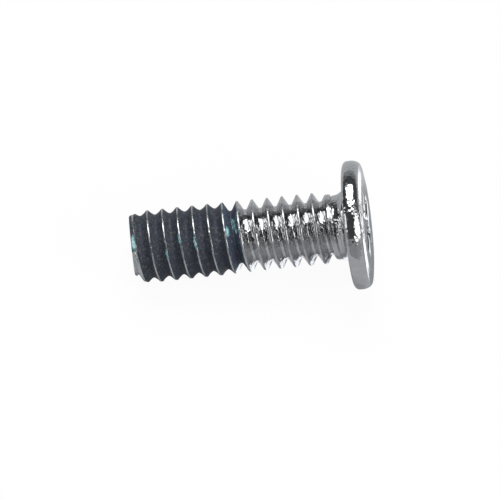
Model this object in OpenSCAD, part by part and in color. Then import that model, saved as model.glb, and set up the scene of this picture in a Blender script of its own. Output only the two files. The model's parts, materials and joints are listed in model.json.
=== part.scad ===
// A small machine screw with a thin round head and a cross recess.
// It has a right-hand metric thread and a nylon locking patch in the thread nearest the tip.
// It lies on its side, resting on the edge of its head and on the thread crest nearest the tip.
// The head points towards +X. The origin is under the middle of the screw, on the surface it lies on.

/* [Thread] */
// Outside diameter of the thread
thread_d = 1.92; // [1.88:0.01:1.98]
// Axial distance from one crest to the next
pitch = 0.4; // [0.35:0.01:0.45]
// Height of the thread from root to crest, as a share of the pitch
thread_share = 0.62; // [0.6:0.01:0.64]
// Length under the head, from the seat to the end of the tip
length = 5.87; // [4:0.01:8]
// Angle round the screw at which the ridge starts at the end face, from the line it lies on
start_angle = 325; // [0:5:355]
// Diameter that the crests narrow to at the end face
end_d = 1.67; // [1.6:0.01:1.8]
// Length over which the crests narrow towards the end face
lead_len = 0.5; // [0.2:0.05:0.6]
// Angle by which the sheared end face is out of square
end_slant = 5; // [0:1:7]
// Side on which the end face is cut shortest, as an angle from the line it lies on
short_side = 210; // [0:5:355]
// Number of turns over which the ridge dies away into the neck
runout_turns = 1.4; // [1:0.1:2]
// Height of the dying ridge beside the neck, as a share of the thread height
runout_share = 0.68; // [0.5:0.02:0.8]
// From the seat to the place inside the neck where the ridge ends
runout_setback = 0.14; // [0.12:0.01:0.24]

/* [Neck] */
// Diameter of the plain neck under the head
neck_d = 1.68; // [1.56:0.01:1.74]
// Length of the neck, from the seat to where the grooves begin
neck_len = 0.36; // [0.35:0.01:0.5]
// Radius of the fillet between neck and head
neck_fillet = 0.35; // [0.2:0.01:0.35]

/* [Head] */
// Diameter of the head
head_d = 3.42; // [3:0.01:4]
// Thickness of the head
head_t = 0.49; // [0.4:0.01:0.7]
// Radius of the rounded edge round the outer face
face_edge_r = 0.18; // [0.1:0.01:0.2]
// Radius of the rounded edge round the seat
seat_edge_r = 0.13; // [0.05:0.01:0.15]

/* [Cross recess] */
// Span across two opposite wings at the outer face
recess_span = 1.56; // [1.4:0.02:1.8]
// Depth of the recess under the outer face
recess_depth = 0.62; // [0.4:0.02:0.66]
// Width of a wing at the outer face
wing_w = 0.36; // [0.3:0.01:0.42]
// Width of a wing at its foot
wing_foot_w = 0.24; // [0.2:0.01:0.28]
// Width across the square core at the outer face, from one corner between wings to the opposite one
core_w = 0.66; // [0.6:0.02:0.76]
// Width across the square core at its foot
core_foot_w = 0.5; // [0.44:0.02:0.56]
// Height of the blunt cone at the foot of the recess
core_tip_h = 0.08; // [0.04:0.01:0.12]
// Slope of the outer ends of the wings, from the screw's axis
wing_end_slope = 26.5; // [20:0.5:30]

/* [Locking patch] */
// Length of the patch along the screw, from the end face
patch_len = 2.95; // [1.5:0.05:3.5]
// Height that the nylon climbs up the flanks, as a share of the thread height
patch_rim = 0.74; // [0.6:0.02:0.85]
// Height of the nylon in the middle of the groove, as a share of the thread height
patch_fill = 0.44; // [0.3:0.02:0.56]
// Height that the middle of the groove thins to where the patch ends
patch_thin = 0.2; // [0.16:0.01:0.28]
// Number of turns over which the patch thins
patch_thin_turns = 0.8; // [0.5:0.1:1.5]

/* [Hidden] */

// Steps in one turn of the thread, and facets of the true round surfaces
steps = 36;
round_fn = 96;

// The thread form: 60 degrees between flanks, crests an eighth of the pitch wide and hollow roots
flank_slope = tan(60 / 2);
thread_h = thread_share * pitch;
crest_half = pitch / 8 / 2;
crest_r = thread_d / 2;
root_r = crest_r - thread_h;
root_share = 0.08;

// Half the width of a ridge at a height that is a share of the thread height
function ridge_half(share) = crest_half + (1 - share) * thread_h * flank_slope;

// Points of one pitch, from the root below a ridge to its upper flank foot.
// Each has an axial place from the middle of the ridge and a share of the thread height.
ridge = [
    [-pitch / 2, 0],
    [-ridge_half(root_share), root_share],
    [-ridge_half(patch_rim), patch_rim],
    [-crest_half, 1],
    [crest_half, 1],
    [ridge_half(patch_rim), patch_rim],
    [ridge_half(root_share), root_share]
];
points_per_step = len(ridge);
lower_foot = 1;
lower_rim = 2;
crest_low = 3;
crest_high = 4;
upper_rim = 5;
upper_foot = 6;

// The helix starts one turn below the end face, where it is cut off, and ends inside the neck
first_z = -length - pitch * (1 + start_angle / 360);
last_step = round((-runout_setback - first_z) / pitch * steps);

// The run-out cuts the top off the ridge: turns before its end, and share of the height left
runout = [
    [0, 0],
    [runout_turns / 4, runout_share],
    [runout_turns * 2 / 3, runout_share],
    [runout_turns, 1]
];

// Place and radius of point j of the ridge at step s of the helix
function step_angle(s) = 360 * s / steps;
function point_z(s, j) = first_z + pitch * s / steps + ridge[j][0];
function ridge_share(s) = lookup((last_step - s) / steps, runout);
function lead_r(z) = end_d / 2 + (z + length) * (thread_d - end_d) / 2 / lead_len;
function point_r(s, j) =
    min(root_r + min(ridge[j][1], ridge_share(s)) * thread_h, max(lead_r(point_z(s, j)), root_r));
function on_helix(r, s, z) = [r * cos(step_angle(s)), r * sin(step_angle(s)), z];
function thread_point(s, j) = on_helix(point_r(s, j), s, point_z(s, j));

// Rings that close the threaded rod below its first turn and inside the head
rod_bottom_z = first_z - pitch;
rod_top_z = pitch - runout_setback;

// Point numbers: the ridge at each step, then one more turn of root, then the two rings
root_start = (last_step + 1) * points_per_step;
bottom_start = root_start + steps;
top_start = bottom_start + steps;
function id(s, j) = s <= last_step ? s * points_per_step + j : root_start + s - last_step - 1;
function id_above(s, j) = j < points_per_step - 1 ? id(s, j + 1) : id(s + steps, 0);
function bottom_id(s) = bottom_start + s % steps;
function top_id(s) = top_start + s % steps;

rod_points = concat(
    [for (s = [0 : last_step], j = [0 : points_per_step - 1]) thread_point(s, j)],
    [for (s = [last_step + 1 : last_step + steps]) on_helix(root_r, s, point_z(s, 0))],
    [for (s = [0 : steps - 1]) on_helix(root_r, s, rod_bottom_z)],
    [for (s = [0 : steps - 1]) on_helix(root_r, s, rod_top_z)]
);

// Two triangles over one step, from a lower line to an upper line, facing away from the axis
function strip(low, high, next_low, next_high) =
    [[low, high, next_high], [low, next_high, next_low]];

// The same two triangles facing the other way, as the patch meets the thread
function strip_back(low, high, next_low, next_high) =
    [[low, next_high, high], [low, next_low, next_high]];

first_side = concat([bottom_id(0)], [for (j = [0 : points_per_step - 1]) id(0, j)], [id(steps, 0)]);
last_side = concat([for (j = [0 : points_per_step - 1]) id(last_step, j)], [id(last_step + steps, 0)]);

rod_faces = concat(
    [for (s = [0 : last_step - 1], j = [0 : points_per_step - 1])
        each strip(id(s, j), id_above(s, j), id(s + 1, j), id_above(s + 1, j))],
    [for (s = [0 : steps - 2]) each strip(bottom_id(s), id(s, 0), bottom_id(s + 1), id(s + 1, 0))],
    [for (s = [last_step + 1 : last_step + steps - 1])
        each strip(id(s, 0), top_id(s), id(s + 1, 0), top_id(s + 1))],
    [for (q = [0 : len(first_side) - 2]) [id(steps - 1, 0), first_side[q + 1], first_side[q]]],
    [[bottom_id(steps - 1), id(steps - 1, 0), bottom_id(0)]],
    [for (q = [0 : len(last_side) - 2]) [last_side[q], last_side[q + 1], id(last_step + 1, 0)]],
    strip(id(last_step + steps, 0), top_id(last_step), id(last_step + 1, 0), top_id(last_step + 1)),
    [[for (s = [0 : steps - 1]) bottom_id(s)]],
    [[for (s = [steps - 1 : -1 : 0]) top_id(s)]]
);

// The patch fills the groove between a ridge and the next turn of it
patch_first = 0;
patch_last = round(((patch_len - length - first_z) / pitch - 0.5) * steps);
// Half the width of its flat middle, which stays between the feet of the two flanks
skin_half = (pitch / 2 - ridge_half(root_share)) * 2 / 3;
function skin_share(s) =
    patch_thin + (patch_fill - patch_thin) * min(1, (patch_last - s) / (patch_thin_turns * steps));
function skin_point(s, side) =
    on_helix(root_r + skin_share(s) * thread_h, s, point_z(s + steps, 0) + side * skin_half);
function patch_ring(s) = [
    thread_point(s, upper_rim),
    thread_point(s, upper_foot),
    thread_point(s + steps, 0),
    thread_point(s + steps, lower_foot),
    thread_point(s + steps, lower_rim),
    skin_point(s, 1),
    skin_point(s, -1)
];
ring_size = 7;
patch_steps = patch_last - patch_first;
patch_points = [for (s = [patch_first : patch_last]) each patch_ring(s)];
function patch_id(s, j) = s * ring_size + j % ring_size;
patch_faces = concat(
    [for (s = [0 : patch_steps - 1], j = [0 : ring_size - 1])
        each strip_back(patch_id(s, j), patch_id(s, j + 1), patch_id(s + 1, j), patch_id(s + 1, j + 1))],
    [[for (j = [0 : ring_size - 1]) patch_id(0, j)]],
    [[for (j = [ring_size - 1 : -1 : 0]) patch_id(patch_steps, j)]]
);

// Lying angle: the seat edge of the head and the crest nearest the tip touch the surface
seat_ring_r = head_d / 2 - seat_edge_r;
function lean_on(z, r) =
    let (drop = seat_ring_r - r, run = seat_edge_r - z)
    atan2(drop, run) + asin(seat_edge_r / norm([drop, run]));
lean = min([
    for (s = [0 : steps : last_step], j = [crest_low, crest_high])
        if (point_z(s, j) > -length) lean_on(point_z(s, j), point_r(s, j))
]);
lift = seat_ring_r * cos(lean) - seat_edge_r * sin(lean) + seat_edge_r;

// Ends of the lying screw along X, from the middle of the seat
face_ring_r = head_d / 2 - face_edge_r;
face_x = face_ring_r * sin(lean) + (head_t - face_edge_r) * cos(lean) + face_edge_r;
end_rise = tan(end_slant) * cos(lean);
tip_x = -length * cos(lean) + end_d / 2 * (end_rise
    - norm([end_rise * cos(short_side) + sin(lean), end_rise * sin(short_side)]));

// Cuts reach this far past the faces that they leave
over = 0.5;

// The threaded rod from the end face up into the head
module threaded_rod() {
    difference() {
        polyhedron(points = rod_points, faces = rod_faces, convexity = 20);
        below_end();
    }
}

// All the space past the end face, which meets the full length on its longest side
module below_end() {
    rotate(short_side)
        translate([-end_d / 2, 0, -length])
            rotate([0, -end_slant, 0])
                translate([-head_d, -head_d, -3 * pitch - over])
                    cube([3 * head_d, 2 * head_d, 3 * pitch + over]);
}

// Half section of the head, with both of its edges rounded
module head_section() {
    square([face_ring_r, head_t]);
    square([seat_ring_r, seat_edge_r]);
    translate([0, seat_edge_r])
        square([head_d / 2, head_t - seat_edge_r - face_edge_r]);
    translate([seat_ring_r, seat_edge_r])
        circle(seat_edge_r, $fn = round_fn);
    translate([face_ring_r, head_t - face_edge_r])
        circle(face_edge_r, $fn = round_fn);
}

// Half section of the neck, which flares into the seat and narrows into the thread
module neck_section() {
    neck_r = neck_d / 2;
    difference() {
        translate([0, -neck_fillet])
            square([neck_r + neck_fillet, neck_fillet + seat_edge_r]);
        translate([neck_r + neck_fillet, -neck_fillet])
            circle(neck_fillet, $fn = round_fn);
    }
    polygon([
        [0, 0],
        [neck_r, -neck_fillet],
        [neck_r, -neck_len],
        [root_r, -neck_len - neck_r + root_r],
        [0, -neck_len - neck_r + root_r]
    ]);
}

// A bar of tapered width through the axis, from the foot of the recess to past its mouth
module wing_pair() {
    rotate([90, 0, 90])
        translate([0, 0, -recess_span])
            linear_extrude(2 * recess_span)
                polygon([
                    [-wing_foot_w / 2, -recess_depth],
                    [wing_foot_w / 2, -recess_depth],
                    [wing_w / 2, 0],
                    [wing_w / 2, over],
                    [-wing_w / 2, over],
                    [-wing_w / 2, 0]
                ]);
}

// The cross recess, with its mouth at z = 0 and its foot below
module cross_recess() {
    wing_taper = tan(wing_end_slope);
    foot_r = recess_span / 2 - recess_depth * wing_taper;
    side_to_corner_r = 1 / sqrt(2);
    intersection() {
        union() {
            wing_pair();
            rotate(90)
                wing_pair();
            translate([0, 0, -recess_depth])
                cylinder(recess_depth, core_foot_w * side_to_corner_r, core_w * side_to_corner_r, $fn = 4);
        }
        translate([0, 0, -recess_depth])
            cylinder(recess_depth + over, foot_r, recess_span / 2 + over * wing_taper, $fn = round_fn);
    }
    translate([0, 0, -recess_depth - core_tip_h])
        cylinder(core_tip_h, 0, core_foot_w / 2, $fn = round_fn);
}

// Turns the upright screw on its side, with its contacts on z = 0
module lying() {
    translate([-(face_x + tip_x) / 2, 0, lift])
        rotate([0, 90 - lean, 0])
            children();
}

module screw() {
    color("silver")
        lying()
            difference() {
                union() {
                    threaded_rod();
                    rotate_extrude($fn = round_fn)
                        union() {
                            head_section();
                            neck_section();
                        }
                }
                translate([0, 0, head_t])
                    cross_recess();
            }
}

module nylon_patch() {
    color("midnightblue")
        lying()
            difference() {
                polyhedron(points = patch_points, faces = patch_faces, convexity = 20);
                below_end();
            }
}

screw();
nylon_patch();
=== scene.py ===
"""A small plated machine screw with a nylon locking patch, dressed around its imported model."""
import json
import math

import bmesh
import bpy
import numpy as np
from mathutils import Matrix, Vector


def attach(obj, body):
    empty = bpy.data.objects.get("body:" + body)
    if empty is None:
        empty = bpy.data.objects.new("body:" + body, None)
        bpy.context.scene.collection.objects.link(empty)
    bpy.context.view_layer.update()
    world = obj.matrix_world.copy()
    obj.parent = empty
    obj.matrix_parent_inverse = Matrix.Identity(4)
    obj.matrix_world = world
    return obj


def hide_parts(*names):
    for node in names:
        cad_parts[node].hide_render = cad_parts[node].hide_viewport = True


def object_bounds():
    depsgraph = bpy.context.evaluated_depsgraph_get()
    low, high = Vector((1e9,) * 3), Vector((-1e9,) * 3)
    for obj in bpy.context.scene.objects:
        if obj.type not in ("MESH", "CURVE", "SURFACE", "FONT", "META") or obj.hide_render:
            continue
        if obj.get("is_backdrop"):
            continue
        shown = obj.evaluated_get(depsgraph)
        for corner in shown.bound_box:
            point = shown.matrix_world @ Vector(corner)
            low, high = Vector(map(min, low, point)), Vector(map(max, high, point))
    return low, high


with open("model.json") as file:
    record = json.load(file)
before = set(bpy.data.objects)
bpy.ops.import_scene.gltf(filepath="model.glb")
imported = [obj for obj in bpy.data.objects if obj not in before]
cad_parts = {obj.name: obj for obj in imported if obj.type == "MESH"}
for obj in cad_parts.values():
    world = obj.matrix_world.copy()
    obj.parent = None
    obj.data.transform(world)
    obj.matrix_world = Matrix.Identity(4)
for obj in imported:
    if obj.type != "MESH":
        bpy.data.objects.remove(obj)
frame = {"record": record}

bl_info = {
    "name": "Locking Machine Screw",
    "version": (1, 0, 0),
    "blender": (4, 5, 0),
    "location": "3D View > Sidebar > Screw",
    "description": "Models a small plated screw with a nylon locking patch, its finishes and its studio",
    "category": "Mesh",
}

MM = 0.001

# Steps in one turn of every round surface
TURN_STEPS = 144
# Height of the join between the head's neck fillet and the shank, and the gap that the join bridges
JOIN_Z = -0.17
JOIN_GAP = 0.008
# Sides of the screw, as angles round its axis: 0 is down, and 270 is towards the front of the studio
HEAD_FRONT = math.radians(204)
SHANK_FRONT = math.radians(209)
HEAD_CREASES = (math.radians(191), math.radians(218))
CHIPPED_SIDE = math.radians(298)


# Settings that all lengths, all angles and all colours share
LENGTH = {"unit": "LENGTH", "subtype": "DISTANCE", "precision": 6}
ANGLE = {"unit": "ROTATION", "subtype": "ANGLE"}
COLOUR = {"subtype": "COLOR", "size": 3, "min": 0, "max": 1}


class ScrewSizes(bpy.types.PropertyGroup):
    """Sizes of the screw and of its locking patch."""

    thread_d: bpy.props.FloatProperty(
        name="Thread diameter", description="Outside diameter of the thread",
        default=1.92 * MM, **LENGTH)
    pitch: bpy.props.FloatProperty(
        name="Pitch", description="Distance from one crest to the next",
        default=0.4 * MM, **LENGTH)
    thread_share: bpy.props.FloatProperty(
        name="Thread height", description="Height of the thread as a share of the pitch",
        default=0.62, subtype="FACTOR", min=0.5, max=0.65)
    length: bpy.props.FloatProperty(
        name="Length", description="Length under the head",
        default=5.87 * MM, **LENGTH)
    start_angle: bpy.props.FloatProperty(
        name="Thread start", description="Angle round the screw at which the ridge starts at the tip",
        default=math.radians(325), **ANGLE)
    end_d: bpy.props.FloatProperty(
        name="Tip diameter", description="Diameter that the crests narrow to at the tip",
        default=1.67 * MM, **LENGTH)
    lead_len: bpy.props.FloatProperty(
        name="Lead length", description="Length over which the crests narrow at the tip",
        default=0.5 * MM, **LENGTH)
    end_slant: bpy.props.FloatProperty(
        name="End slant", description="Angle by which the sheared end face is out of square",
        default=math.radians(5), **ANGLE)
    short_side: bpy.props.FloatProperty(
        name="Short side", description="Side on which the end face is cut shortest",
        default=math.radians(210), **ANGLE)
    runout_turns: bpy.props.FloatProperty(
        name="Run-out turns", description="Turns over which the ridge dies away at the neck",
        default=1.4, min=0.5, max=3)
    runout_share: bpy.props.FloatProperty(
        name="Run-out height", description="Height of the dying ridge as a share of the thread height",
        default=0.68, subtype="FACTOR", min=0, max=1)
    runout_setback: bpy.props.FloatProperty(
        name="Run-out setback", description="From the seat to the place in the neck where the ridge ends",
        default=0.14 * MM, **LENGTH)
    neck_d: bpy.props.FloatProperty(
        name="Neck diameter", description="Diameter of the plain neck under the head",
        default=1.68 * MM, **LENGTH)
    neck_len: bpy.props.FloatProperty(
        name="Neck length", description="From the seat to where the grooves begin",
        default=0.36 * MM, **LENGTH)
    neck_fillet: bpy.props.FloatProperty(
        name="Neck fillet", description="Radius between neck and head",
        default=0.35 * MM, **LENGTH)
    head_d: bpy.props.FloatProperty(
        name="Head diameter", description="Diameter of the head",
        default=3.42 * MM, **LENGTH)
    head_t: bpy.props.FloatProperty(
        name="Head thickness", description="Thickness of the head",
        default=0.49 * MM, **LENGTH)
    seat_edge_r: bpy.props.FloatProperty(
        name="Seat edge radius", description="Radius of the edge round the seat",
        default=0.13 * MM, **LENGTH)
    recess_span: bpy.props.FloatProperty(
        name="Recess span", description="Span across two opposite wings of the cross recess",
        default=1.56 * MM, **LENGTH)
    recess_depth: bpy.props.FloatProperty(
        name="Recess depth", description="Depth of the wings under the outer face",
        default=0.62 * MM, **LENGTH)
    patch_len: bpy.props.FloatProperty(
        name="Patch length", description="Length of the locking patch from the tip",
        default=2.95 * MM, **LENGTH)
    patch_fill: bpy.props.FloatProperty(
        name="Patch fill", description="Height of the nylon in the grooves as a share of the thread height",
        default=0.46, subtype="FACTOR", min=0.2, max=0.6)


class ScrewFinish(bpy.types.PropertyGroup):
    """Colours of the plate and the nylon."""

    plate: bpy.props.FloatVectorProperty(
        name="Plate", description="Colour of the bright nickel plate",
        default=(0.56, 0.565, 0.575), **COLOUR)
    nylon: bpy.props.FloatVectorProperty(
        name="Nylon", description="Colour of the nylon where it is thick",
        default=(0.021, 0.027, 0.045), **COLOUR)
    nylon_thin: bpy.props.FloatVectorProperty(
        name="Thin nylon", description="Colour of the nylon where it is a thin film",
        default=(0.056, 0.062, 0.098), **COLOUR)
    fleck: bpy.props.FloatVectorProperty(
        name="Fleck", description="Colour of the loose flecks of nylon powder",
        default=(0.13, 0.45, 0.52), **COLOUR)
    heap: bpy.props.FloatVectorProperty(
        name="Heap", description="Colour of the flecks where they are heaped on the nylon",
        default=(0.6, 0.85, 0.88), **COLOUR)
    dust: bpy.props.FloatVectorProperty(
        name="Dust", description="Colour of the flecks where they are heaped on the plate",
        default=(0.5, 0.62, 0.62), **COLOUR)
    grain: bpy.props.FloatVectorProperty(
        name="Grain", description="Colour of the fine grain of the nylon",
        default=(0.055, 0.064, 0.086), **COLOUR)
    dot: bpy.props.FloatVectorProperty(
        name="Dot", description="Colour of the pale dots in the nylon",
        default=(0.1, 0.098, 0.092), **COLOUR)
    floor: bpy.props.FloatVectorProperty(
        name="Floor", description="Colour of the floor as the camera sees it",
        default=(1.0, 1.0, 1.0), **COLOUR)
    floor_around: bpy.props.FloatVectorProperty(
        name="Floor around", description="Colour of the floor as it lights the screw",
        default=(0.47, 0.47, 0.48), **COLOUR)


class StudioView(bpy.types.PropertyGroup):
    """Where the camera stands and what it aims at."""

    azimuth: bpy.props.FloatProperty(
        name="Azimuth", description="Angle of the camera round the screw",
        default=math.radians(-2.536), **ANGLE)
    elevation: bpy.props.FloatProperty(
        name="Elevation", description="Angle of the camera above the floor",
        default=math.radians(62), **ANGLE)
    distance: bpy.props.FloatProperty(
        name="Distance", description="From the camera to the screw",
        default=252.386 * MM, unit="LENGTH", subtype="DISTANCE", precision=4)
    view_angle: bpy.props.FloatProperty(
        name="View angle", description="Angle that the camera takes in",
        default=math.radians(3), **ANGLE)
    aim_right: bpy.props.FloatProperty(
        name="Aim right", description="How far the aim lies to the right of the screw's middle",
        default=-0.051 * MM, **LENGTH)
    aim_up: bpy.props.FloatProperty(
        name="Aim up", description="How far the aim lies above the screw's middle in the picture",
        default=-0.5527 * MM, **LENGTH)


class Form:
    """The screw's sizes in millimetres, upright: the axis is Z, the seat is at 0 and the tip is below."""

    crest_share = 0.05
    flank_slope = math.tan(math.radians(30))
    # Reach inwards and height of the head's rounded shoulder, and of the fine bevel inside it
    shoulder = (0.15, 0.26)
    bevel = (0.22, 0.035)
    # Reach inwards of the dull edge between them, and width of the drawn-in face round the recess
    shoulder_edge = 0.02
    recess_rim = 0.3
    # Width over which the crests are worn at the end face, and reach and depth of the chip there
    worn_edge = 0.05
    chip_reach = 0.16
    chip_depth = 0.15
    recess_wing = 0.36
    recess_wing_foot = 0.24
    recess_core = 0.33
    recess_core_foot = 0.25
    recess_end_slope = math.tan(math.radians(26.5))
    # Points across the rounded end of a wing, as shares of its half width, and the rounding of its corners
    recess_end_points = (-1, -0.85, -0.4, 0, 0.4, 0.85, 1)
    recess_corner = 0.03
    recess_tip = 0.08

    def __init__(self, sizes):
        for name in ("thread_d", "pitch", "length", "end_d", "lead_len", "runout_setback", "neck_d",
                     "neck_len", "neck_fillet", "head_d", "head_t", "seat_edge_r", "recess_span",
                     "recess_depth", "patch_len"):
            setattr(self, name, getattr(sizes, name) / MM)
        self.runout_turns = sizes.runout_turns
        self.runout_share = sizes.runout_share
        self.end_rise = math.tan(sizes.end_slant)
        self.short_side = sizes.short_side
        self.patch_fill = sizes.patch_fill
        self.thread_h = sizes.thread_share * self.pitch
        self.crest_half = self.crest_share * self.pitch
        self.crest_r = self.thread_d / 2
        self.root_r = self.crest_r - self.thread_h
        self.neck_r = self.neck_d / 2
        self.first_z = -self.length - self.pitch * (1 + sizes.start_angle / (2 * math.pi))
        self.last_turn = (-self.runout_setback - self.first_z) / self.pitch

    def ridge_share(self, off):
        """Height of the ridge, as a share, at an axial distance from its middle."""
        flank = 1 - (np.abs(off) - self.crest_half) / (self.thread_h * self.flank_slope)
        return soft_max(soft_min(flank, np.ones_like(flank), 0.05), np.zeros_like(flank), 0.14)

    def turn_and_offset(self, angle, z):
        """The nearest turn of the ridge, counted along the helix, and how far above its middle a place is."""
        turns = (z - self.first_z) / self.pitch - angle / (2 * math.pi)
        nearest = np.round(turns)
        return angle / (2 * math.pi) + nearest, (turns - nearest) * self.pitch

    def neck_radius(self, z):
        """Radius of the neck and its flare into the seat."""
        rise = np.clip(z + self.neck_fillet, 0, self.neck_fillet)
        flare = self.neck_fillet - np.sqrt(self.neck_fillet ** 2 - rise ** 2)
        below = np.clip(z + self.neck_len, self.root_r - self.neck_r, 0)
        return self.neck_r + flare + below

    def end_height(self, angle, radius):
        """Height of the slanting end face."""
        rise = radius * np.cos(angle - self.short_side) + self.end_d / 2
        return -self.length + self.end_rise * rise

    def lead_radius(self, angle, z):
        """Radius that the crests keep under near the tip, with a worn edge at the very end."""
        cone = self.end_d / 2 + (z + self.length) * (self.thread_d - self.end_d) / 2 / self.lead_len
        past_end = z - self.end_height(angle, self.root_r)
        chipped = ramp(np.cos(angle - CHIPPED_SIDE), 0.5, 0.85)
        chip = chipped * np.clip(1 - past_end / self.chip_reach, 0, 1)
        rest = np.clip(1 - past_end / self.worn_edge, 0, 1)
        worn = self.worn_edge * 0.6 * (1 - np.sqrt(1 - 0.98 * rest ** 2))
        return np.maximum(cone - self.chip_depth * chip, self.root_r) - worn

    def surface_radius(self, angle, z):
        """Radius of the threaded shank at an angle and a height."""
        turn, off = self.turn_and_offset(angle, z)
        fade = np.interp(
            self.last_turn - turn,
            [0, self.runout_turns / 4, self.runout_turns * 2 / 3, self.runout_turns],
            [0, self.runout_share, self.runout_share, 1])
        thread = self.root_r + soft_min(self.ridge_share(off), fade, 0.04) * self.thread_h
        thread = soft_min(thread, self.lead_radius(angle, z), 0.012)
        return soft_max(thread, self.neck_radius(z), 0.012)


# Where the powder lies loose: turn of the groove and place across it, reach of each, strength
LOOSE_POWDER = (
    ((1.555, 0.85), (0.042, 0.3), 1.7),
    ((1.66, 0.3), (0.055, 0.7), 0.75),
    ((8.545, -0.75), (0.03, 0.22), 1.5),
    ((8.478, 0.2), (0.018, 0.18), 2.0),
    ((8.516, 0.2), (0.018, 0.18), 2.0),
    ((8.545, 0.5), (0.015, 0.15), 1.8),
    ((8.67, 0.2), (0.035, 0.1), 1.3),
    ((8.5, 0.5), (0.05, 0.5), 0.7),
    ((3.62, 1.05), (0.03, 0.25), 1.2),
    ((4.56, 1.05), (0.03, 0.25), 1.2),
    ((5.58, 1.05), (0.035, 0.28), 1.4),
)


def powder_amount(turn, a):
    """How much powder lies loose at a turn of the groove and a share of its half width."""
    amount = np.zeros_like(turn)
    for centre, reach, strength in LOOSE_POWDER:
        spot = np.exp(-((turn - centre[0]) / reach[0]) ** 2 - ((a - centre[1]) / reach[1]) ** 2)
        amount = np.maximum(amount, strength * spot)
    return amount


def soft_min(first, second, width):
    """The smaller of two values, rounded over a width where they cross."""
    near = np.clip(0.5 + 0.5 * (second - first) / width, 0, 1)
    return second + (first - second) * near - width * near * (1 - near)


def soft_max(first, second, width):
    """The larger of two values, rounded over a width where they cross."""
    return -soft_min(-first, -second, width)


def wave(turn, seed, rates, size):
    """A smooth uneven value along the helix, the same every time."""
    draw = np.random.default_rng(seed)
    total = np.zeros_like(turn)
    for rate in rates:
        total += np.sin(turn * rate * 2 * math.pi + draw.uniform(0, 2 * math.pi)) / len(rates)
    return size * total


def ramp(value, low, high):
    """Rises smoothly from 0 to 1 between two values."""
    share = np.clip((value - low) / (high - low), 0, 1)
    return share * share * (3 - 2 * share)


def edit_mode(action):
    """Opens the active object in edit mode with all or none of it selected: SELECT or DESELECT."""
    bpy.ops.object.mode_set(mode="EDIT")
    bpy.ops.mesh.select_all(action=action)


def object_mode():
    """Leaves edit mode."""
    bpy.ops.object.mode_set(mode="OBJECT")


def deselect_all():
    """Leaves no object selected, so that the next operator acts on its own piece alone."""
    if bpy.context.object is not None and bpy.context.object.mode != "OBJECT":
        object_mode()
    bpy.ops.object.select_all(action="DESELECT")


def join_pieces(kept, added):
    """Joins the second object to the first."""
    deselect_all()
    added.select_set(True)
    kept.select_set(True)
    bpy.context.view_layer.objects.active = kept
    bpy.ops.object.join()


def positions(obj):
    """The object's points as an array."""
    found = np.empty(len(obj.data.vertices) * 3)
    obj.data.vertices.foreach_get("co", found)
    return found.reshape(-1, 3)


def set_positions(obj, points):
    """Moves the object's points to the array's places."""
    obj.data.vertices.foreach_set("co", np.asarray(points, np.float32).ravel())
    obj.data.update()


def paint(obj, name, values):
    """Stores a value at each point of the object, for its material to read."""
    layer = obj.data.attributes.new(name, "FLOAT", "POINT")
    layer.data.foreach_set("value", np.asarray(values, np.float32))


def line_of_edges(name, points, closed=False):
    """A line of edges in the XZ plane through (radius, height) points."""
    deselect_all()
    bpy.ops.mesh.primitive_circle_add(vertices=len(points), fill_type="NOTHING")
    obj = bpy.context.object
    obj.name = obj.data.name = name
    set_positions(obj, [(radius, 0, height) for radius, height in points])
    if not closed:
        edit_mode("DESELECT")
        bpy.ops.mesh.select_mode(type="EDGE")
        mesh = bmesh.from_edit_mesh(obj.data)
        ends = {0, len(points) - 1}
        for edge in mesh.edges:
            edge.select_set({v.index for v in edge.verts} == ends)
        bmesh.update_edit_mesh(obj.data)
        bpy.ops.mesh.delete(type="EDGE")
        object_mode()
    return obj


def sweep(obj, turns=1, rise=0.0, merge=True):
    """Turns a line of edges round Z, rising by the given height each turn, and closes the joins."""
    bpy.ops.object.modifier_add(type="SCREW")
    turning = obj.modifiers[-1]
    turning.axis = "Z"
    turning.angle = 2 * math.pi
    turning.steps = turning.render_steps = TURN_STEPS
    turning.iterations = turns
    turning.screw_offset = rise
    turning.use_normal_calculate = True
    bpy.ops.object.modifier_apply(modifier=turning.name)
    if merge:
        edit_mode("SELECT")
        bpy.ops.mesh.remove_doubles(threshold=1e-4)
        object_mode()


def cut_above(height):
    """Cuts off all of the active object above a height, and leaves it open there."""
    edit_mode("SELECT")
    bpy.ops.mesh.bisect(plane_co=(0, 0, height), plane_no=(0, 0, 1), clear_outer=True, threshold=1e-5)
    object_mode()


def cut_end(form):
    """Cuts the active object off at the slanting end face and closes it there."""
    out = (math.cos(form.short_side), math.sin(form.short_side))
    middle = (0, 0, form.end_height(0, 0))
    edit_mode("SELECT")
    bpy.ops.mesh.bisect(plane_co=middle, plane_no=(-form.end_rise * out[0], -form.end_rise * out[1], 1),
                        use_fill=True, clear_inner=True, threshold=1e-5)
    object_mode()


def edit_open_edges():
    """Opens the active object in edit mode with the edges selected that only one face uses."""
    edit_mode("DESELECT")
    bpy.ops.mesh.select_mode(type="EDGE")
    bpy.ops.mesh.select_non_manifold(extend=False, use_wire=False, use_boundary=True,
                                     use_multi_face=False, use_non_contiguous=False, use_verts=False)


def face_outwards():
    """Turns all faces of the active object outwards."""
    edit_mode("SELECT")
    bpy.ops.mesh.normals_make_consistent(inside=False)
    object_mode()


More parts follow.
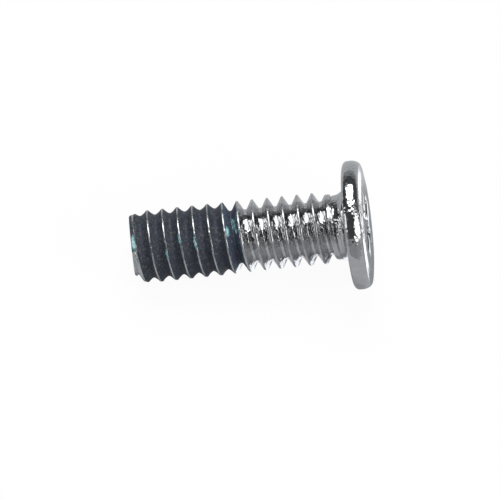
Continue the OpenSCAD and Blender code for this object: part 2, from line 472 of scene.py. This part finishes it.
def settle(obj, form):
    """Lays the piece, modelled upright in millimetres, in its place in the frame, and shades it."""
    recess = next(mount for mount in frame["record"]["mounts"] if mount["name"] == "drive_recess")
    head_way = Vector(recess["axis"]).normalized()
    side = Vector((0, 1, 0))
    down = side.cross(head_way)
    seat = Vector(recess["pos_m"]) - head_way * form.head_t * MM
    place = Matrix.Identity(4)
    for column, axis in enumerate((down, side, head_way)):
        for row in range(3):
            place[row][column] = axis[row] * MM
    place.translation = seat
    obj.data.transform(place)
    obj.matrix_world = Matrix.Identity(4)
    obj.data.update()
    deselect_all()
    obj.select_set(True)
    bpy.context.view_layer.objects.active = obj
    bpy.ops.object.shade_smooth_by_angle(angle=math.radians(38))


def cross_outline(form, depth, grow):
    """Outline of the cross recess at a depth under the outer face, as points in turn."""
    share = depth / form.recess_depth
    wing = (form.recess_wing + (form.recess_wing_foot - form.recess_wing) * share) / 2 + grow
    core = form.recess_core + (form.recess_core_foot - form.recess_core) * share + grow
    reach = form.recess_span / 2 - depth * form.recess_end_slope + grow
    inner = core * math.sqrt(2) - wing
    quarter = []
    for across in form.recess_end_points:
        side = across * wing
        pulled = reach - (form.recess_corner if abs(across) == 1 else 0)
        quarter.append((math.sqrt(pulled ** 2 - side ** 2), side))
    quarter += [((reach + inner) / 2, wing), (inner, wing), (wing, inner), (wing, (reach + inner) / 2)]
    outline = []
    for c, s in ((1, 0), (0, 1), (-1, 0), (0, -1)):
        outline += [(c * x - s * y, s * x + c * y) for x, y in quarter]
    return outline


def model_recess(form):
    """The walls and foot of the cross recess, sunk from a rounded mouth."""
    mouth_edge = 0.018
    mouth = cross_outline(form, 0, mouth_edge)
    deselect_all()
    bpy.ops.mesh.primitive_circle_add(vertices=len(mouth), fill_type="NOTHING")
    obj = bpy.context.object
    obj.name = "recess"
    set_positions(obj, [(x, y, form.head_t) for x, y in mouth])
    # Depth of each level under the face, and how far its outline stands out from the plain walls
    levels = [(0.006, 0.009), (0.02, 0)] + [(form.recess_depth * n / 5, 0) for n in range(1, 5)]
    levels += [(form.recess_depth - 0.02, 0), (form.recess_depth, -0.025)]
    edit_mode("SELECT")
    last = np.array(mouth)
    for depth, grow in levels:
        outline = np.array(cross_outline(form, depth, grow))
        bpy.ops.mesh.extrude_region_move()
        mesh = bmesh.from_edit_mesh(obj.data)
        for vertex in mesh.verts:
            if vertex.select:
                near = np.argmin(np.hypot(*(last - vertex.co.to_tuple()[:2]).T))
                vertex.co = (*outline[near], form.head_t - depth)
        bmesh.update_edit_mesh(obj.data)
        last = outline
    bpy.ops.mesh.extrude_region_move()
    bpy.ops.mesh.merge(type="CENTER")
    bpy.ops.transform.translate(value=(0, 0, -form.recess_tip))
    object_mode()
    return obj


def arc(centre, radius, start, end, count):
    """Points on an arc in the plane of radius and height, with its angles in degrees."""
    angles = np.radians(np.linspace(start, end, count))
    return [(centre[0] + radius * math.cos(a), centre[1] + radius * math.sin(a)) for a in angles]


def model_head(form):
    """The head with its neck fillet, its rounded edges, its bevel and the cross recess."""
    fillet_centre = (form.neck_r + form.neck_fillet, -form.neck_fillet)
    first = 180 - math.degrees(math.asin((JOIN_Z + form.neck_fillet) / form.neck_fillet))
    seat_ring = form.head_d / 2 - form.seat_edge_r
    shoulder, bevel = form.shoulder, form.bevel
    shoulder_ring = form.head_d / 2 - shoulder[0]
    shoulder_z = form.head_t - bevel[1] - shoulder[1]
    profile = arc(fillet_centre, form.neck_fillet, first, 90, 9)
    profile += arc((seat_ring, form.seat_edge_r), form.seat_edge_r, -90, -12, 8)
    for side in np.radians(np.linspace(4, 78, 14)):
        profile.append((shoulder_ring + shoulder[0] * math.cos(side),
                        shoulder_z + shoulder[1] * math.sin(side)))
    edge = profile[-1][0] - form.shoulder_edge
    for share in (0, 0.06, 0.5, 0.94, 1):
        profile.append((edge - bevel[0] * share, form.head_t - bevel[1] * (1 - share)))
    profile.append((form.recess_span / 2 + form.recess_rim, form.head_t))
    head = line_of_edges("head", profile)
    sweep(head)
    points = positions(head)
    angle = np.arctan2(points[:, 1], points[:, 0])
    # How strongly the plate is crinkled: a little all round, more in front, and most where it is creased
    pressed = 0.15 + 0.15 * ramp(np.cos(angle - HEAD_FRONT), 0.9, 0.98)
    for crease in HEAD_CREASES:
        pressed += 0.4 * ramp(np.cos(angle - crease), 0.982, 0.998)
    paint(head, "pressed", pressed)
    join_pieces(head, model_recess(form))
    edit_open_edges()
    mesh = bmesh.from_edit_mesh(head.data)
    for edge in mesh.edges:
        if edge.select and min(v.co.z for v in edge.verts) < 0:
            edge.select_set(False)
    bmesh.update_edit_mesh(head.data)
    bpy.ops.mesh.fill(use_beauty=True)
    object_mode()
    return head


# Distances from the ridge's middle at which its profile has points, in millimetres
RIDGE_STEPS = (0, 0.012, 0.02, 0.026, 0.033, 0.045, 0.07, 0.1, 0.13, 0.15, 0.165, 0.18)
# Film of powder on the crests beside the patch: how uneven and how soft its edge is, in millimetres
FILM_WAVE = 0.05
FILM_EDGE = 0.08
# Powder in that film, and the amount from which a loose spot of it shows outside
FILM_POWDER = 0.33
POWDER_SHOWS = 0.3


def model_shank(form):
    """The threaded shank, swept along the helix, drawn to its form and cut off at both ends."""
    half = form.pitch / 2
    offsets = [-half] + [-off for off in reversed(RIDGE_STEPS[1:])] + list(RIDGE_STEPS) + [half]
    profile = [(form.root_r, form.first_z + off) for off in offsets]
    shank = line_of_edges("shank", profile)
    turns = math.ceil((JOIN_Z - form.first_z) / form.pitch + 1)
    sweep(shank, turns, form.pitch)
    points = positions(shank)
    angle = np.arctan2(points[:, 1], points[:, 0])
    radius = form.surface_radius(angle, points[:, 2])
    points[:, 0] = radius * np.cos(angle)
    points[:, 1] = radius * np.sin(angle)
    set_positions(shank, points)
    _, off = form.turn_and_offset(angle, points[:, 2])
    paint(shank, "roll_across", np.cos(2 * math.pi * off / form.pitch))
    paint(shank, "roll_along", np.sin(2 * math.pi * off / form.pitch))
    paint(shank, "rolled", np.ones_like(off))
    # The rolled crests are smooth, and the plate is crinkled most in front
    front = ramp(np.cos(angle - SHANK_FRONT), 0.92, 0.975)
    crest = np.clip((form.ridge_share(off) - 0.86) / 0.1, 0, 1)
    paint(shank, "pressed", (0.3 + 0.6 * front) * (1 - 0.7 * crest))
    paint(shank, "crest", crest)
    edge = form.patch_len - form.length + wave(angle / math.pi, 8, (2, 5), FILM_WAVE)
    film = np.clip((edge - points[:, 2]) / FILM_EDGE, 0, 1)
    helix = (points[:, 2] - form.first_z - half) / form.pitch
    groove = angle / (2 * math.pi) + np.round(helix - angle / (2 * math.pi))
    across = (helix - groove) * form.pitch / (half - form.crest_half)
    powder = powder_amount(groove, across)
    paint(shank, "film", np.maximum(film, powder > POWDER_SHOWS))
    paint(shank, "fleck", np.maximum(FILM_POWDER * film, powder))
    cut_above(JOIN_Z - JOIN_GAP)
    cut_end(form)
    edit_mode("DESELECT")
    bpy.ops.mesh.select_mode(type="FACE")
    mesh = bmesh.from_edit_mesh(shank.data)
    for face in mesh.faces:
        face.select_set(len(face.verts) > 8)
    bmesh.update_edit_mesh(shank.data)
    middle = (0, 0, form.end_height(0, 0))
    # Size of each inner ring of the end face, and how far the last one is pressed in
    for size, sunk in ((0.86, 0), (0.93, 0.02)):
        bpy.ops.mesh.extrude_region_move()
        bpy.ops.transform.resize(value=(size, size, size), center_override=middle)
        bpy.ops.transform.translate(value=(0, 0, sunk))
    object_mode()
    return shank


# Points across the skin of the patch
PATCH_POINTS = 21
# Turns of the groove over which the patch thins out before its end, is worn off and whole again
# near the tip, and starts to have uneven edges
THIN_END = (-0.95, -0.6)
WORN_START = (1.57, 1.63)
WORN_STOP = (1.86, 1.92)
UNEVEN_START = (2.6, 3.0)
# How uneven the edges of the patch are, in millimetres, and its height, as a share of the thread height
EDGE_WAVE = 0.012
FILL_WAVE = 0.03
# In millimetres: how far the skin sinks where it is thin or worn, its least height over the steel, its
# height over the narrowing crests, and the rounding where it meets them
SKIN_SINKS = 0.16
SKIN_LEAST = 0.003
SKIN_OVER_LEAD = 0.004
SKIN_ROUNDING = 0.01
# In millimetres: how far the rims and the underside lie in the steel, and how much deeper where worn
RIM_SUNK = 0.001
UNDERSIDE_SUNK = 0.006
WORN_SKIN = 0.012
WORN_UNDERSIDE = 0.014


def model_patch(form):
    """The nylon in the grooves nearest the tip, swept along the helix and cut off with the end face."""
    half = form.pitch / 2
    reach = half - form.crest_half
    across = np.sin(np.linspace(-math.pi / 2, math.pi / 2, PATCH_POINTS))
    skin = [(form.crest_r, form.first_z + half + a * reach) for a in across]
    under = [(form.root_r, form.first_z + half + a * reach) for a in across[::-2]]
    patch = line_of_edges("locking_patch", skin + under, closed=True)
    last_turn = (form.patch_len - form.length - form.first_z) / form.pitch - 0.5
    sweep(patch, math.ceil(last_turn), form.pitch, merge=False)
    points = positions(patch)
    ring = len(skin) + len(under)
    step = np.arange(len(points)) // ring
    place = np.arange(len(points)) % ring
    turn = step / TURN_STEPS * last_turn / math.ceil(last_turn)
    angle = turn * 2 * math.pi
    a = np.array(list(across) + list(across[::-2]))[place]
    outer = place < len(skin)
    middle = form.first_z + half + turn * form.pitch
    left = last_turn - turn
    thin = ramp(-left, *THIN_END)
    worn_end = ramp(turn, *WORN_START) - ramp(turn, *WORN_STOP)
    uneven = ramp(turn, *UNEVEN_START)
    low = wave(turn, 3, (3.1, 7.3, 15.1, 31.3), EDGE_WAVE) * uneven
    high = wave(turn, 4, (3.7, 8.3, 17.9, 29.7), EDGE_WAVE) * uneven
    z = middle + a * (reach + np.where(a < 0, low, high))
    bare = form.surface_radius(angle, z)
    fill = form.patch_fill + wave(turn, 5, (0.9, 2.3, 5.9), FILL_WAVE)
    skin_r = form.root_r + (fill + (1 - fill) * np.abs(a) ** 1.5) * form.thread_h
    skin_r = soft_max(skin_r - SKIN_SINKS * np.maximum(thin, worn_end), bare + SKIN_LEAST, SKIN_ROUNDING)
    skin_r = soft_min(skin_r, form.lead_radius(angle, z) + SKIN_OVER_LEAD, SKIN_ROUNDING)
    skin_r = np.maximum(skin_r, bare + RIM_SUNK) - WORN_SKIN * worn_end
    skin_r = np.where(np.abs(a) > 0.999, bare - RIM_SUNK, skin_r)
    radius = np.where(outer, skin_r, bare - UNDERSIDE_SUNK - WORN_UNDERSIDE * worn_end)
    set_positions(patch, np.column_stack([radius * np.cos(angle), radius * np.sin(angle), z]))
    paint(patch, "thin", np.where(outer, thin, 0))
    flecks = np.maximum(0.26 * thin + 0.3 * np.abs(a) ** 8, powder_amount(turn, a))
    paint(patch, "fleck", np.where(outer, flecks, 0))
    edit_open_edges()
    bpy.ops.mesh.edge_face_add()
    object_mode()
    cut_end(form)
    face_outwards()
    return patch


def add_group(name, inputs, outputs):
    """An empty shader node group with its sockets, and its input and output nodes."""
    group = bpy.data.node_groups.new(name, "ShaderNodeTree")
    for label, kind, value in inputs:
        socket = group.interface.new_socket(label, in_out="INPUT", socket_type=kind)
        if value is not None:
            socket.default_value = value
    for label, kind in outputs:
        group.interface.new_socket(label, in_out="OUTPUT", socket_type=kind)
    return group, group.nodes.new("NodeGroupInput"), group.nodes.new("NodeGroupOutput")


def node(tree, kind, links=(), **values):
    """A node with its settings, socket values by name or number, and links into its inputs."""
    made = tree.nodes.new(kind)
    for key, value in values.items():
        setattr(made, key, value)
    for socket, source in links:
        if isinstance(source, bpy.types.NodeSocket):
            tree.links.new(source, made.inputs[socket])
        else:
            made.inputs[socket].default_value = source
    return made


def calculate(tree, operation, *values):
    """The result of an operation on values, given as numbers or as outputs of other nodes."""
    return node(tree, "ShaderNodeMath", enumerate(values), operation=operation).outputs[0]


def times(tree, first, second):
    """The product of two values."""
    return calculate(tree, "MULTIPLY", first, second)


def share_between(tree, value, low, high, kind="SMOOTHSTEP"):
    """Where a value lies between two others, from 0 to 1."""
    links = [("Value", value), ("From Min", low), ("From Max", high)]
    return node(tree, "ShaderNodeMapRange", links, interpolation_type=kind).outputs["Result"]


def noise(tree, vector, scale, detail, roughness=0.5):
    """Noise from 0 to 1 at a place."""
    return node(tree, "ShaderNodeTexNoise", [
        ("Vector", vector), ("Scale", scale), ("Detail", detail), ("Roughness", roughness)]).outputs["Fac"]


def blend(tree, share, first, second):
    """The mix of two colours, given as colours or as outputs of other nodes."""
    return node(tree, "ShaderNodeMix", [(0, share), (6, first), (7, second)], data_type="RGBA").outputs[2]


def colour(parts, scale=1.0):
    """A colour for a shader socket."""
    return (*[scale * part for part in parts], 1)


def painted(tree, name):
    """The value that is painted on the piece's points under a name."""
    return node(tree, "ShaderNodeAttribute", attribute_name=name).outputs["Fac"]


def bump(tree, height, depth, under=None, strength=1.0):
    """The normal of a surface with bumps of a depth in metres, over another normal where one is given."""
    made = node(tree, "ShaderNodeBump", [("Strength", strength), ("Distance", depth), ("Height", height)])
    if under is not None:
        tree.links.new(under, made.inputs["Normal"])
    return made.outputs["Normal"]


def speckle_group():
    """Fine uneven speckle for any finish: a mask from 0 to 1, and its softer form as a height."""
    group, start, end = add_group(
        "Speckle",
        [("Vector", "NodeSocketVector", None), ("Scale", "NodeSocketFloat", 30000.0),
         ("Low", "NodeSocketFloat", 0.45), ("High", "NodeSocketFloat", 0.65),
         ("Detail", "NodeSocketFloat", 3.0)],
        [("Mask", "NodeSocketFloat"), ("Height", "NodeSocketFloat")])
    vector, scale, low, high, detail = list(start.outputs)[:5]
    grain = noise(group, vector, scale, detail, 0.6)
    group.links.new(share_between(group, grain, low, high), end.inputs["Mask"])
    group.links.new(grain, end.inputs["Height"])
    return group


def empty_tree(owner):
    """The node tree of a material or a world, with nothing in it."""
    owner.use_nodes = True
    owner.node_tree.nodes.clear()
    return owner.node_tree


def new_material(name):
    """A node material with only its output and a Principled shader."""
    material = bpy.data.materials.new(name)
    tree = empty_tree(material)
    shader = node(tree, "ShaderNodeBsdfPrincipled")
    end = node(tree, "ShaderNodeOutputMaterial")
    tree.links.new(shader.outputs["BSDF"], end.inputs["Surface"])
    return material, tree, shader


def fleck_group():
    """Loose flecks of powder that gather where the amount is high: their mask, and which are palest."""
    group, start, end = add_group(
        "Flecks",
        [("Vector", "NodeSocketVector", None), ("Amount", "NodeSocketFloat", 0.0)],
        [("Mask", "NodeSocketFloat"), ("Pale", "NodeSocketFloat")])
    vector, amount = list(start.outputs)[:2]
    grain = noise(group, vector, 24000.0, 2.0)
    # A fleck shows where the noise passes a level that falls as the amount rises
    low = calculate(group, "MULTIPLY_ADD", amount, -0.36, 0.72)
    high = calculate(group, "ADD", low, 0.1)
    shade = noise(group, vector, 31000.0, 1.0)
    heaped = calculate(group, "MULTIPLY_ADD", amount, 0.2, shade)
    group.links.new(share_between(group, grain, low, high), end.inputs["Mask"])
    group.links.new(share_between(group, heaped, 0.64, 0.82, "LINEAR"), end.inputs["Pale"])
    return group


def use_group(tree, group, where, **values):
    """A node that uses a shared group on the object's own coordinates."""
    made = node(tree, "ShaderNodeGroup", node_tree=group)
    for name, value in values.items():
        made.inputs[name].default_value = value
    tree.links.new(where.outputs["Object"], made.inputs["Vector"])
    return made


# Depths of the marks of rolling, the dents and the crinkles in the plate, and of the nylon's grain, in metres
ROLLED_DEPTH = 1.1e-5
DENT_DEPTH = 8e-6
CRINKLE_DEPTH = 3.2e-5
GRAIN_DEPTH = 3e-6
# Steps of the noise in the marks of rolling, in a metre across the screw
ROLLED_SCALE = 4500.0
# How the plate's roughness goes from its smoothest to its dullest places, and what worn crests add
ROUGH_LEAST = 0.03
ROUGH_MOST = 0.1
ROUGH_CREST = 0.2


def plated_steel(finish, groups):
    """Bright nickel plate over rolled steel, crinkled, with loose powder on the crests by the patch."""
    material, tree, shader = new_material("plated_steel")
    where = node(tree, "ShaderNodeTexCoord")
    fine = use_group(tree, groups["Speckle"], where, Scale=11500.0, Detail=0.0)
    broad = use_group(tree, groups["Speckle"], where, Scale=5200.0)
    flecks = use_group(tree, groups["Flecks"], where)
    tree.links.new(painted(tree, "fleck"), flecks.inputs["Amount"])
    powder = times(tree, painted(tree, "film"), flecks.outputs["Mask"])
    tone = blend(tree, broad.outputs["Mask"], colour(finish.plate, 0.93), colour(finish.plate))
    loose = blend(tree, flecks.outputs["Pale"], colour(finish.fleck), colour(finish.dust))
    tree.links.new(blend(tree, powder, tone, loose), shader.inputs["Base Color"])
    tree.links.new(calculate(tree, "SUBTRACT", 1.0, powder), shader.inputs["Metallic"])
    rough = node(tree, "ShaderNodeMapRange", [
        ("Value", broad.outputs["Height"]), ("To Min", ROUGH_LEAST), ("To Max", ROUGH_MOST)])
    worn = calculate(tree, "MULTIPLY_ADD", painted(tree, "crest"), ROUGH_CREST, rough.outputs["Result"])
    tree.links.new(worn, shader.inputs["Roughness"])
    parts = node(tree, "ShaderNodeSeparateXYZ", [(0, where.outputs["Object"])])
    place = node(tree, "ShaderNodeCombineXYZ", [
        (0, painted(tree, "roll_across")), (1, painted(tree, "roll_along")),
        (2, times(tree, parts.outputs["Y"], ROLLED_SCALE))])
    lines = noise(tree, place.outputs[0], 1.5, 0.5)
    rolled = bump(tree, times(tree, lines, painted(tree, "rolled")), ROLLED_DEPTH)
    dents = bump(tree, broad.outputs["Height"], DENT_DEPTH, rolled)
    crinkled = times(tree, fine.outputs["Height"], painted(tree, "pressed"))
    tree.links.new(bump(tree, crinkled, CRINKLE_DEPTH, dents), shader.inputs["Normal"])
    return material


def locking_nylon(finish, groups):
    """Fused nylon powder, dark and speckled, blue where it is thin, with loose flecks."""
    material, tree, shader = new_material("locking_nylon")
    where = node(tree, "ShaderNodeTexCoord")
    grains = use_group(tree, groups["Speckle"], where, Scale=20000.0, Low=0.5, High=0.66, Detail=1.0)
    dots = use_group(tree, groups["Speckle"], where, Scale=13000.0, Low=0.6, High=0.68, Detail=1.0)
    clouds = use_group(tree, groups["Speckle"], where, Scale=6000.0)
    flecks = use_group(tree, groups["Flecks"], where)
    tree.links.new(painted(tree, "fleck"), flecks.inputs["Amount"])
    base = blend(tree, clouds.outputs["Mask"], colour(finish.nylon), colour(finish.nylon, 1.4))
    grainy = blend(tree, grains.outputs["Mask"], base, colour(finish.grain))
    dotted = blend(tree, dots.outputs["Mask"], grainy, colour(finish.dot))
    tinted = blend(tree, painted(tree, "thin"), dotted, colour(finish.nylon_thin))
    loose = blend(tree, flecks.outputs["Pale"], colour(finish.fleck), colour(finish.heap))
    tree.links.new(blend(tree, flecks.outputs["Mask"], tinted, loose), shader.inputs["Base Color"])
    grained = bump(tree, grains.outputs["Height"], GRAIN_DEPTH, strength=0.8)
    tree.links.new(grained, shader.inputs["Normal"])
    shader.inputs["Roughness"].default_value = 0.6
    return material


def get_groups():
    """The shared node groups, made once and used by both finishes."""
    made = bpy.data.node_groups
    return {"Speckle": made.get("Speckle") or speckle_group(), "Flecks": made.get("Flecks") or fleck_group()}


class SCREW_OT_body(bpy.types.Operator):
    """Model the plated screw with its thread, neck, head and cross recess"""

    bl_idname = "screw.body"
    bl_label = "Screw Body"

    def execute(self, context):
        form = Form(context.scene.screw_sizes)
        head = model_head(form)
        shank = model_shank(form)
        join_pieces(shank, head)
        edit_open_edges()
        bpy.ops.mesh.bridge_edge_loops()
        object_mode()
        face_outwards()
        shank.name = shank.data.name = "plated_screw"
        settle(shank, form)
        shank.data.materials.clear()
        shank.data.materials.append(plated_steel(context.scene.screw_finish, get_groups()))
        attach(shank, "root")
        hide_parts("screw")
        return {"FINISHED"}


class SCREW_OT_patch(bpy.types.Operator):
    """Model the nylon locking patch in the thread nearest the tip"""

    bl_idname = "screw.patch"
    bl_label = "Locking Patch"

    def execute(self, context):
        form = Form(context.scene.screw_sizes)
        patch = model_patch(form)
        settle(patch, form)
        patch.data.materials.clear()
        patch.data.materials.append(locking_nylon(context.scene.screw_finish, get_groups()))
        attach(patch, "root")
        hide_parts("nylon_patch")
        return {"FINISHED"}


# Painted brightness of the floor as the plate mirrors it, with a painted shadow of the head: millimetres
# along the screw, past its head
FLOOR_ALONG = ((0, 0.5), (3, 0.5), (3.3, 0.36), (4.6, 0.36), (5.4, 0.08), (10, 0.08))
# A painted strip of light on the floor beyond the head as the plate mirrors it: millimetres along and across
# the screw
STRIP_ALONG = ((3, 0), (3.8, 0), (3.95, 1.3), (5, 1.3), (5.3, 0), (6, 0))
STRIP_ACROSS = ((-3, 0), (-1.4, 0), (-1, 1), (2.6, 1), (3.2, 0), (4, 0))
# Share of the floor beside the screw that is as bright as near the head: millimetres across it
BESIDE_ACROSS = ((-3, 1), (-1.5, 1), (-0.9, 0), (1.8, 0), (2.4, 1), (4, 1))
# A painted glow of the floor under the thread as the plate mirrors it: millimetres across and along the screw
GLOW_ACROSS = ((-2, 0), (-0.92, 0), (-0.8, 1), (-0.42, 1), (-0.3, 0), (2, 0))
GLOW_ALONG = ((-4, 0), (-0.9, 0), (-0.5, 1), (2.5, 1), (2.65, 0), (4, 0))
# How much the painted glow adds to the floor's own light
GLOW_GAIN = 2.2
# Brightness of the floor beside the screw, and the cool tint of all of it, as the plate mirrors them
BESIDE_LEVEL = 0.58
FLOOR_TINT = (0.97, 0.99, 1.03)
# Share of the floor that shines by itself: to the camera, to the plate, and to the plate in the glow
CAMERA_SHARE = 0.95
PLATE_SHARE = 0.15
GLOW_SHARE = 0.75
FLOOR_SIZE = 0.5


def level_ramp(tree, value, levels):
    """A brightness that follows a value through pairs of value and brightness."""
    low, high = levels[0][0], levels[-1][0]
    made = node(tree, "ShaderNodeValToRGB", [(0, share_between(tree, value, low, high, "LINEAR"))])
    stops = made.color_ramp.elements
    while len(stops) > 1:
        stops.remove(stops[-1])
    peak = max(level for _, level in levels)
    for number, (at, level) in enumerate(levels):
        position = (at - low) / (high - low)
        stop = stops[0] if number == 0 else stops.new(position)
        stop.position = position
        stop.color = colour([level / peak] * 3)
    return times(tree, made.outputs["Color"], peak)


def floor_material(finish):
    """A floor that is white to the camera with a soft shadow, and grey with painted bright strips, a painted
    shadow of the head and a painted glow to the plate.
    """
    material = bpy.data.materials.new("studio_floor")
    tree = empty_tree(material)
    rays = node(tree, "ShaderNodeLightPath")
    where = node(tree, "ShaderNodeTexCoord")
    place = node(tree, "ShaderNodeSeparateXYZ", [(0, where.outputs["Object"])])
    length_way = times(tree, place.outputs["X"], 1 / MM)
    cross_way = times(tree, place.outputs["Y"], 1 / MM)
    # Painted light on the floor that only the plate mirrors: a strip of light beyond the head and a glow
    # under the thread
    strip = times(tree, level_ramp(tree, length_way, STRIP_ALONG), level_ramp(tree, cross_way, STRIP_ACROSS))
    glow = times(tree, level_ramp(tree, length_way, GLOW_ALONG), level_ramp(tree, cross_way, GLOW_ACROSS))
    beside = blend(tree, level_ramp(tree, cross_way, BESIDE_ACROSS),
                   level_ramp(tree, length_way, FLOOR_ALONG), colour([BESIDE_LEVEL] * 3))
    along = calculate(tree, "ADD", beside, strip)
    mirror = calculate(tree, "ADD", rays.outputs["Is Glossy Ray"], rays.outputs["Is Transmission Ray"])
    cool = node(tree, "ShaderNodeVectorMath", [(0, along), (1, FLOOR_TINT)], operation="MULTIPLY")
    around = blend(tree, mirror, colour(finish.floor_around), cool.outputs[0])
    seen = blend(tree, rays.outputs["Is Camera Ray"], around, colour(finish.floor))
    matt = node(tree, "ShaderNodeBsdfDiffuse", [("Color", seen)])
    # The painted glow, shown only to rays that the plate mirrors
    lit = times(tree, mirror, glow)
    strength = calculate(tree, "MULTIPLY_ADD", lit, GLOW_GAIN, 1.0)
    bright = node(tree, "ShaderNodeEmission", [("Color", seen), ("Strength", strength)])
    mirrored = calculate(tree, "MULTIPLY_ADD", lit, GLOW_SHARE, times(tree, mirror, PLATE_SHARE))
    share = calculate(tree, "MULTIPLY_ADD", rays.outputs["Is Camera Ray"], CAMERA_SHARE, mirrored)
    mixed = node(tree, "ShaderNodeMixShader", [(0, share), (1, matt.outputs[0]), (2, bright.outputs[0])])
    node(tree, "ShaderNodeOutputMaterial", [("Surface", mixed.outputs[0])])
    return material


# Brightness of the studio round the screw's length: degrees from the front horizon over the top
STUDIO_MIDDLE = (
    (-180, 0.8), (0, 0.4), (3, 0.38), (26, 0.36), (34, 0.07), (96, 0.07),
    (102, 5.0), (135, 5.0), (141, 0.09), (160, 0.09), (166, 0.3), (180, 0.4),
)
STUDIO_RIGHT = (
    (-180, 0.6), (0, 0.45), (30, 0.4), (38, 2.4), (78, 2.4), (86, 0.9), (98, 0.2), (125, 0.09), (160, 0.09),
    (166, 0.3), (180, 0.4),
)
STUDIO_DARK = ((-180, 0.5), (0, 0.38), (24, 0.34), (34, 0.09), (160, 0.09), (168, 0.3), (180, 0.4))
STUDIO_LEFT = (
    (-180, 0.5), (0, 0.36), (20, 0.3), (44, 0.14), (54, 1.6), (92, 1.6), (100, 0.05), (160, 0.05),
    (168, 0.25), (180, 0.35),
)
# Tints of the dim and of the bright parts of the studio
DIM_TINT = (0.9, 0.95, 1, 1)
BRIGHT_TINT = (1, 1, 0.98, 1)
# The bands that take over towards the ends, each from one X of the direction to another
STUDIO_SIDES = ((STUDIO_RIGHT, 0.26, 0.36), (STUDIO_DARK, -0.26, -0.36), (STUDIO_LEFT, -0.62, -0.72))


def studio_world():
    """A studio dark round the camera, with a bright panel past the top and softer ones at both ends."""
    world = bpy.data.worlds.new("studio")
    bpy.context.scene.world = world
    tree = empty_tree(world)
    where = node(tree, "ShaderNodeTexCoord")
    parts = node(tree, "ShaderNodeSeparateXYZ", [(0, where.outputs["Generated"])])
    front = times(tree, parts.outputs["Y"], -1.0)
    round_x = calculate(tree, "ARCTAN2", parts.outputs["Z"], front)
    degrees = times(tree, round_x, math.degrees(1))
    level = level_ramp(tree, degrees, STUDIO_MIDDLE)
    for bands, low, high in STUDIO_SIDES:
        side = share_between(tree, parts.outputs["X"], low, high)
        level = node(tree, "ShaderNodeMix", [
            (0, side), (2, level), (3, level_ramp(tree, degrees, bands))]).outputs[0]
    rays = node(tree, "ShaderNodeLightPath")
    shown = node(tree, "ShaderNodeMix", [(0, rays.outputs["Is Camera Ray"]), (2, level), (3, 1.0)])
    tint = blend(tree, level, DIM_TINT, BRIGHT_TINT)
    hue = blend(tree, rays.outputs["Is Camera Ray"], tint, colour((1, 1, 1)))
    sky = node(tree, "ShaderNodeBackground", [("Color", hue), ("Strength", shown.outputs[0])])
    node(tree, "ShaderNodeOutputWorld", [("Surface", sky.outputs[0])])


class SCREW_OT_stage(bpy.types.Operator):
    """Set up the floor, the studio light and the camera"""

    bl_idname = "screw.stage"
    bl_label = "Studio"

    def execute(self, context):
        scene = context.scene
        deselect_all()
        bpy.ops.mesh.primitive_plane_add(size=FLOOR_SIZE, location=(0, 0, 0))
        floor = context.object
        floor.name = "studio_floor"
        floor.data.materials.append(floor_material(scene.screw_finish))
        floor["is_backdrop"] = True
        studio_world()
        view = scene.studio_view
        away = Vector((math.sin(view.azimuth) * math.cos(view.elevation),
                       -math.cos(view.azimuth) * math.cos(view.elevation),
                       math.sin(view.elevation)))
        turned = (-away).to_track_quat("-Z", "Y")
        low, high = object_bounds()
        aim = (low + high) / 2 + turned @ Vector((view.aim_right, view.aim_up, 0))
        bpy.ops.object.camera_add(location=aim + away * view.distance)
        camera = context.object
        camera.name = "camera"
        camera.rotation_mode = "QUATERNION"
        camera.rotation_quaternion = turned
        camera.data.angle = view.view_angle
        camera.data.clip_start = 0.001
        camera.data.clip_end = 5
        scene.camera = camera
        scene.view_settings.view_transform = "Standard"
        return {"FINISHED"}


class SCREW_PT_panel(bpy.types.Panel):
    """Lists the screw's pieces and sizes"""

    bl_idname = "SCREW_PT_panel"
    bl_label = "Locking Machine Screw"
    bl_space_type = "VIEW_3D"
    bl_region_type = "UI"
    bl_category = "Screw"

    def draw(self, context):
        column = self.layout.column(align=True)
        for operator in (SCREW_OT_body, SCREW_OT_patch, SCREW_OT_stage):
            column.operator(operator.bl_idname)
        for group in (context.scene.screw_sizes, context.scene.screw_finish, context.scene.studio_view):
            box = self.layout.box()
            for name in group.__annotations__:
                box.prop(group, name)


CLASSES = (ScrewSizes, ScrewFinish, StudioView, SCREW_OT_body, SCREW_OT_patch, SCREW_OT_stage,
           SCREW_PT_panel)


def register():
    """Registers the classes and gives the scene their settings."""
    for part in CLASSES:
        bpy.utils.register_class(part)
    bpy.types.Scene.screw_sizes = bpy.props.PointerProperty(type=ScrewSizes)
    bpy.types.Scene.screw_finish = bpy.props.PointerProperty(type=ScrewFinish)
    bpy.types.Scene.studio_view = bpy.props.PointerProperty(type=StudioView)


def unregister():
    """Takes the settings and classes away again."""
    del bpy.types.Scene.studio_view
    del bpy.types.Scene.screw_finish
    del bpy.types.Scene.screw_sizes
    for part in reversed(CLASSES):
        bpy.utils.unregister_class(part)


def main():
    """Models the screw and its studio around the frame."""
    register()
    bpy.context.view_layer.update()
    bpy.ops.screw.body()
    bpy.ops.screw.patch()
    bpy.ops.screw.stage()


if __name__ == "__main__":
    main()
